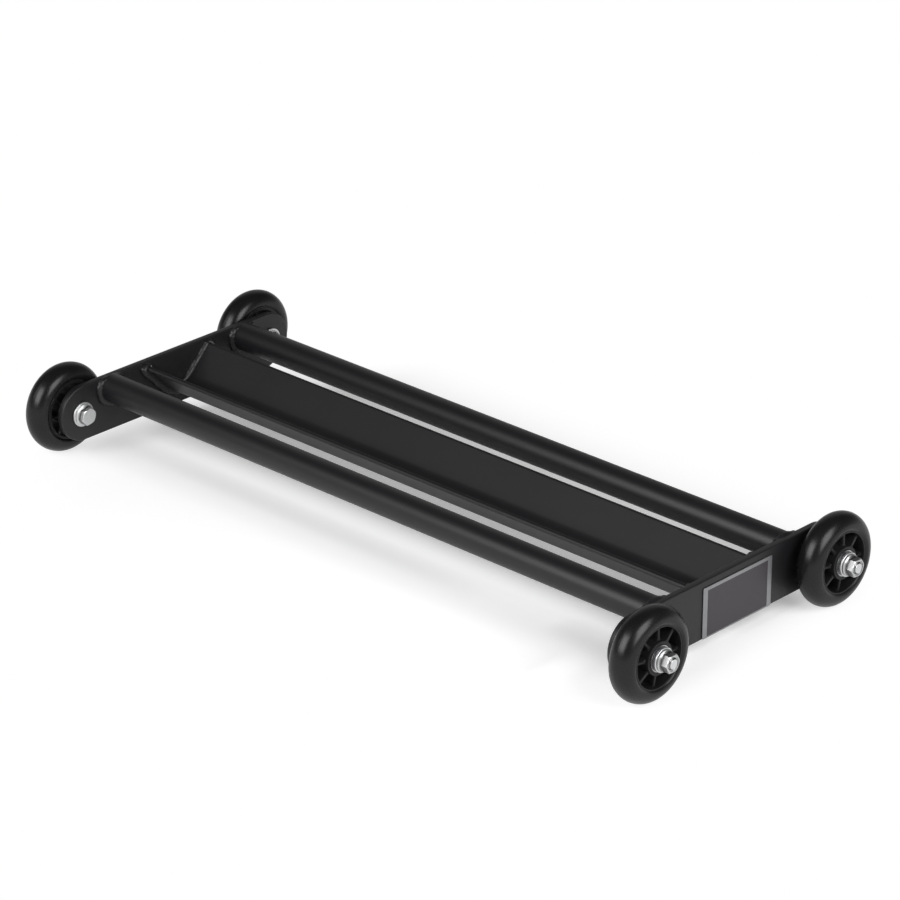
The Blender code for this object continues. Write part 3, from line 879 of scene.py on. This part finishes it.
def hexagon_sides(height, flange_rise, turn):
    """Rows up a hexagon's sides from seat to face, with the flange's lower edge rounded."""
    rim = np.linspace(0.15 * MM, FLANGE_RIM, 4)
    slope = np.linspace(FLANGE_RIM, flange_rise, 8)[1:]
    flats = np.linspace(flange_rise + 0.05 * MM, height, 16)
    x = np.concatenate([[0.0], rim, slope, flats])[:, None]
    radius = hexagon_radius(x, height, flange_rise, turn)
    return rows_of(x, np.where(x < 0.1 * MM, radius - 0.2 * MM, radius))


def threaded_shank(length):
    """Radius = R - depth * triangle wave of (x / pitch + angle / turn), with a tapered tip."""
    start = length - THREAD_LENGTH - 0.5 * MM
    x = np.concatenate([[SHANK_START], np.linspace(start, length, 64)])[:, None]
    wave = np.abs(2 * np.mod(x / PITCH + AROUND / (2 * math.pi), 1) - 1)
    depth = np.where(x > length - THREAD_LENGTH, THREAD_DEPTH, 0)
    taper = np.maximum(x - (length - TIP), 0)
    radius = np.minimum(BOLT_RADIUS - depth * wave, BOLT_RADIUS - taper)
    return np.concatenate([circle_row(SHANK_START, 0), rows_of(x, radius), circle_row(length, 0)])


def bolt():
    """The head, which looks back along the axis, and the shank."""
    sides = hexagon_sides(HEAD_HEIGHT, HEAD_FLANGE, HEAD_TURN)
    head = np.concatenate([circle_row(0, 0), sides, circle_row(HEAD_HEIGHT, 0)])
    head, shank = head * np.array([-1, -1, 1]), threaded_shank(BOLT_LENGTH)
    return [(rows + np.array([HEAD_PLACE, 0, 0]), True, False) for rows in (head, shank)]


def nut():
    """Sides, a face with a round recess, and the bore: a ring closed on itself."""
    recess, floor = 6.2 * MM, 7.9 * MM
    rows = [hexagon_sides(NUT_HEIGHT, NUT_FLANGE, NUT_TURN), circle_row(NUT_HEIGHT, recess + 0.5 * MM),
            circle_row(NUT_HEIGHT - 0.1 * MM, recess), circle_row(floor, recess - 0.1 * MM),
            circle_row(floor, BORE), circle_row(0, BORE)]
    return [(np.concatenate(rows) + np.array([NUT_PLACE, 0, 0]), True, True)]


for corner in CORNERS:
    moved = [shifted(shell, corner) for shell in bolt()]
    add_piece(f"{corner}_flange_bolt", moved, bolt_zinc,
              "frame", [f"{corner}_axle_bolt"], crease=30)
    moved = [shifted(shell, corner) for shell in nut()]
    add_piece(f"{corner}_flange_nut", moved, nut_zinc,
              "frame", [f"{corner}_lock_nut"], crease=30)
print("bolts end", round((HEAD_PLACE + BOLT_LENGTH) / MM, 2), "mm out from the plates' inner faces")

# %% [markdown]
# ## Floor
# The roller stands on a plain white floor. For the camera, and in reflections, a faint glow is
# added to the light that the floor gives back, so that it reads as white paper while the shadows
# stay, and away from the object it turns to pure white. Mirrors get about a third of that glow.
# More light on the object would whiten the floor too, but it would wash out the black. The glow
# is weaker under the roller, which paints shade there, and four soft patches in front paint light
# and shade into the shadow. Each patch is its middle, its half sizes and its own glow.

# %% Floor
FLOOR_REACH = 30.0
FLOOR_WHITE = 0.92
# GLOW_UNDER and GLOW_BEHIND paint shade: less glow under the roller, and less still toward its rear
GLOW, GLOW_UNDER, GLOW_BEHIND = 0.29, 0.225, 0.13
# Patches of painted light and shade: lighter by the front bar, a painted shadow band in front of it,
# a darker painted shadow by the right wheel, and lighter in front of that wheel
PAINTED_LIGHT_AND_SHADE_PATCHES = [
    ((0.0, -0.038), (0.30, 0.014), 0.36),
    ((-0.095, -0.069), (0.22, 0.017), 0.195),
    ((0.238, -0.066), (0.043, 0.022), 0.185),
    ((0.290, -0.124), (0.055, 0.036), 0.47),
]
MIRRORED = 0.35
# The shadow's half length and half depth, and how much less deep it is at its ends, in metres
HALF_LENGTH, HALF_DEPTH, TAPER = 0.30, 0.155, 0.065
# Where each smooth rise across the floor starts and ends, in metres
FRONT_EDGE, REAR_EDGE, END_EDGE = (0.005, 0.029), (0.140, 0.198), (0.24, 0.30)
TAPER_ZONE, REAR_ZONE, WHITE_ZONE = (0.22, 0.30), (0.03, 0.13), (-0.005, 0.10)


def rays_of(finish, *kinds):
    """1 for the kinds of ray that are named, and 0 for all others."""
    path = finish.node("ShaderNodeLightPath").output.node
    chosen = Socket(finish, path.outputs[kinds[0]])
    for kind in kinds[1:]:
        chosen = chosen.at_least(Socket(finish, path.outputs[kind]))
    return chosen


def smooth(value, zone, top=1.0):
    """0 before a zone, top past it, and a smooth rise between."""
    inputs = {"Value": value, "From Min": zone[0], "From Max": zone[1], "To Min": 0.0, "To Max": top}
    return value.finish.node("ShaderNodeMapRange", {"interpolation_type": "SMOOTHSTEP"}, inputs)


def patch(x, y, place, half):
    """max(1 - dx^4, 0) * max(1 - dy^2, 0), with dx and dy measured from a place in half sizes."""
    dx, dy = (x - place[0]) * (1 / half[0]), (y - place[1]) * (1 / half[1])
    square = dx * dx
    return (1.0 - square * square).at_least(0.0) * (1.0 - dy * dy).at_least(0.0)


def floor_glow(finish, x, y):
    """The glow's colour: painted shade under the roller, deeper toward its rear; full glow beside it.
    """
    beside = smooth(y * -1, FRONT_EDGE).at_least(smooth(y, REAR_EDGE))
    beside = beside.at_least(smooth(abs(x), END_EDGE))
    under = finish.mix(smooth(y, REAR_ZONE), grey(GLOW_UNDER), grey(GLOW_BEHIND))
    lit = finish.mix(beside, under, grey(GLOW))
    for place, half, level in PAINTED_LIGHT_AND_SHADE_PATCHES:
        lit = finish.mix(patch(x, y, place, half), lit, grey(level))
    return lit


def studio_floor():
    """Matt white; where it is seen or mirrored a glow is added, and far off it is pure white.

    Distance from the shadow is sqrt((1.6 max(|x| - a, 0))^2 + max(|y| - b, 0)^2), where a is its
    half length and b its half depth, which tapers near the ends.
    """
    finish = new_finish("studio_floor")
    x, y, _ = finish.axes()
    past_end = (abs(x) - HALF_LENGTH).at_least(0.0) * 1.6
    half_depth = HALF_DEPTH - smooth(abs(x), TAPER_ZONE) * TAPER
    past_side = (abs(y) - half_depth).at_least(0.0)
    away = (past_end * past_end + past_side * past_side).root()
    finish.surface(Base_Color=grey(FLOOR_WHITE), Roughness=0.9, Specular_IOR_Level=0.0)
    paint = Socket(finish, finish.shader.outputs[0])
    glow, white = [finish.node("ShaderNodeEmission", None, {"Color": colour, "Strength": 1.0})
                   for colour in (floor_glow(finish, x, y), grey(1.0))]
    near = finish.node("ShaderNodeAddShader", None, {0: paint, 1: glow})
    shown = finish.node("ShaderNodeMixShader", None, {0: smooth(away, WHITE_ZONE), 1: near, 2: white})
    seen = rays_of(finish, "Is Camera Ray", "Is Transmission Ray")
    share = seen.at_least(rays_of(finish, "Is Glossy Ray") * MIRRORED)
    both = finish.node("ShaderNodeMixShader", None, {0: share, 1: paint, 2: shown})
    finish.feed(finish.tree.nodes["Material Output"], "Surface", both)
    return finish.owner


floor_corners = [(x * FLOOR_REACH, y * FLOOR_REACH, 0) for x, y in ((-1, -1), (1, -1), (1, 1), (-1, 1))]
floor_mesh = bpy.data.meshes.new("studio_floor")
floor_mesh.from_pydata(floor_corners, [], [(0, 1, 2, 3)])
floor_mesh.materials.append(studio_floor())
floor = bpy.data.objects.new("studio_floor", floor_mesh)
bpy.context.scene.collection.objects.link(floor)
print("floor is", round(2 * FLOOR_REACH), "m wide")

# %% [markdown]
# ## Light
# Two soft boxes light the roller, one in front and one on its right, and a dimmer panel stands on
# the left. Round black things mirror each box as one soft streak, and what is between the streaks
# stays black, so the ceiling is dark. Where the boxes stand was read from the streaks on the
# tyres: each point of a turned surface mirrors one known direction.

# %% Soft boxes
SOFT_BOXES = {
    "front_soft_box": ((-0.15, -3.0, 1.95), (2.2, 2.1), 5.8),
    "right_soft_box": ((2.1, -0.1, 1.45), (1.5, 1.6), 5.6),
    "left_panel": ((-1.6, -2.3, 1.85), (1.5, 1.7), 1.3),
}


def soft_box(name, place, size, brightness):
    """A rectangular lamp that faces the object; its power is brightness * pi * area."""
    data = bpy.data.lights.new(name, "AREA")
    data.shape, data.size, data.size_y = "RECTANGLE", size[0], size[1]
    data.energy = brightness * math.pi * size[0] * size[1]
    made = bpy.data.objects.new(name, data)
    bpy.context.scene.collection.objects.link(made)
    made.location = place
    made.rotation_euler = Vector(place).to_track_quat("Z", "Y").to_euler()
    return made


for name, (place, size, brightness) in SOFT_BOXES.items():
    soft_box(name, place, size, brightness)
    print(name, "stands", round(Vector(place).length, 1), "m away")

# %% [markdown]
# ## Sky
# What the boxes leave is a dim room: grey near the ground and almost black overhead, with a
# lighter wall at the back left that the end plate mirrors. It is a few nodes in the world's
# light, put together as a finish is. The camera itself sees plain white past the floor.

# %% Sky
AIR_STOPS = [(0.02, grey(0.5)), (0.14, grey(0.20)), (0.50, grey(0.05))]
TOWARD_WALL = (-0.641, 0.687, 0.342)
WALL_ZONE = (0.80, 0.98)
WALL_SHARE, WALL_GREY = 0.5, grey(0.62)

world = bpy.data.worlds.new("studio_sky")
bpy.context.scene.world = world
sky = Finish(world, "Background", "Generated")
air = sky.node("ShaderNodeValToRGB", {"stops": AIR_STOPS}, {"Fac": sky.axes()[2]})
facing = sky.node("ShaderNodeVectorMath", {"operation": "DOT_PRODUCT"},
                  {0: sky.place(), 1: TOWARD_WALL}, "Value")
room = sky.mix(smooth(facing, WALL_ZONE, WALL_SHARE), air, WALL_GREY)
sky.surface(Color=sky.mix(rays_of(sky, "Is Camera Ray"), room, grey(1.0)))
print("sky is put together from", len(sky.tree.nodes), "nodes")

# %% [markdown]
# ## Camera
# The camera looks down at the roller from the front right through a long lens, as in a product
# photograph. Its place and lens come from fitting a pinhole camera to the object's outlines.

# %% Camera
AZIMUTH, ELEVATION = math.radians(43.557), math.radians(24.717)
CAMERA_PLACE = (2.06512, -2.15175, 1.43969)
LENS_PIXELS, PICTURE_PIXELS = 3962.57, 900
SENSOR_MM = 36

back = Vector((math.sin(AZIMUTH) * math.cos(ELEVATION), -math.cos(AZIMUTH) * math.cos(ELEVATION),
               math.sin(ELEVATION)))
right = Vector((math.cos(AZIMUTH), math.sin(AZIMUTH), 0))
camera_data = bpy.data.cameras.new("camera")
camera_data.sensor_width = SENSOR_MM
camera_data.lens = LENS_PIXELS / PICTURE_PIXELS * SENSOR_MM
camera_data.clip_end = 200
camera = bpy.data.objects.new("camera", camera_data)
turn = Matrix((right, back.cross(right), back)).transposed().to_4x4()
camera.matrix_world = Matrix.Translation(CAMERA_PLACE) @ turn
bpy.context.scene.collection.objects.link(camera)
bpy.context.scene.camera = camera
bpy.context.scene.view_settings.view_transform = "Standard"
print("lens is", round(camera_data.lens, 1), "mm")
